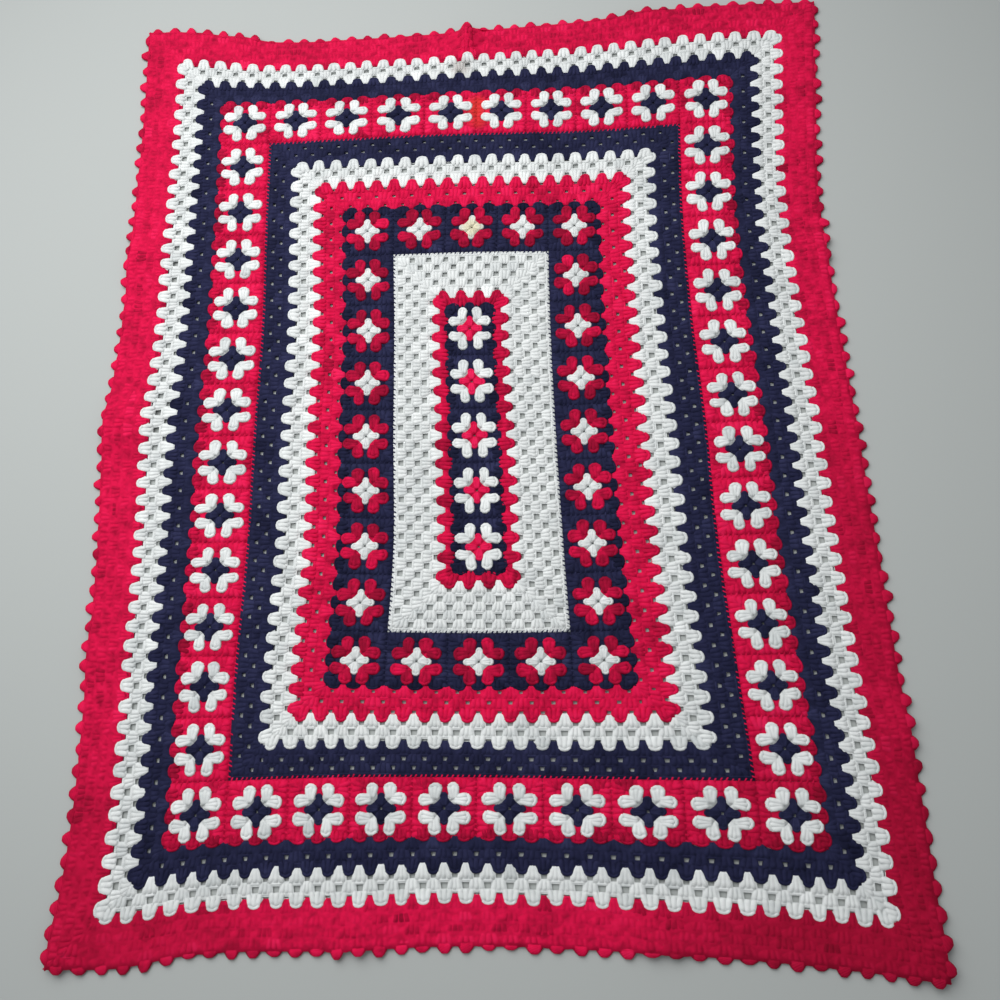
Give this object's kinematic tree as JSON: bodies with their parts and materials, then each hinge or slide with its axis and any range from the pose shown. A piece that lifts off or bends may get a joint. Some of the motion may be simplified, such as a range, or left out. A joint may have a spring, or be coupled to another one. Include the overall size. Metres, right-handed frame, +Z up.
{
  "type": "granny square blanket",
  "caption": "Rectangular crocheted throw laid flat: a centre strip and rings of granny squares, bands of clusters in red, off-white and navy between them, and a pointed red border.",
  "frame": {"origin": "middle of the blanket's bounding box, on the surface that it lies on", "axes": "+X across the blanket to the right of the picture, +Y up its length to the top of the picture, +Z up from the surface"},
  "size_m": [1.1106, 1.4218, 0.0168],
  "materials": {
    "red_yarn": "matt worsted acrylic yarn, crimson",
    "white_yarn": "matt worsted acrylic yarn, cool off-white",
    "navy_yarn": "matt worsted acrylic yarn, dark navy"
  },
  "bodies": {
    "root": {"centre_red_bottom": "red_yarn", "centre_red_left": "red_yarn", "centre_red_right": "red_yarn", "centre_red_top": "red_yarn", "centre_square_1": "navy_yarn", "centre_square_2": "navy_yarn", "centre_square_3": "navy_yarn", "centre_square_4": "navy_yarn", "centre_square_5": "navy_yarn", "centre_white_bottom": "white_yarn", "centre_white_left": "white_yarn", "centre_white_right": "white_yarn", "centre_white_top": "white_yarn", "middle_navy_bottom": "navy_yarn", "middle_navy_left": "navy_yarn", "middle_navy_right": "navy_yarn", "middle_navy_top": "navy_yarn", "middle_red_bottom": "red_yarn", "middle_red_left": "red_yarn", "middle_red_right": "red_yarn", "middle_red_top": "red_yarn", "middle_squares_bottom": "navy_yarn", "middle_squares_left": "navy_yarn", "middle_squares_right": "navy_yarn", "middle_squares_top": "navy_yarn", "middle_white_bottom": "white_yarn", "middle_white_left": "white_yarn", "middle_white_right": "white_yarn", "middle_white_top": "white_yarn", "outer_navy_bottom": "navy_yarn", "outer_navy_left": "navy_yarn", "outer_navy_right": "navy_yarn", "outer_navy_top": "navy_yarn", "outer_red_bottom": "red_yarn", "outer_red_left": "red_yarn", "outer_red_right": "red_yarn", "outer_red_top": "red_yarn", "outer_squares_bottom": "red_yarn", "outer_squares_left": "red_yarn", "outer_squares_right": "red_yarn", "outer_squares_top": "red_yarn", "outer_white_bottom": "white_yarn", "outer_white_left": "white_yarn", "outer_white_right": "white_yarn", "outer_white_top": "white_yarn"}
  },
  "joints": []
}
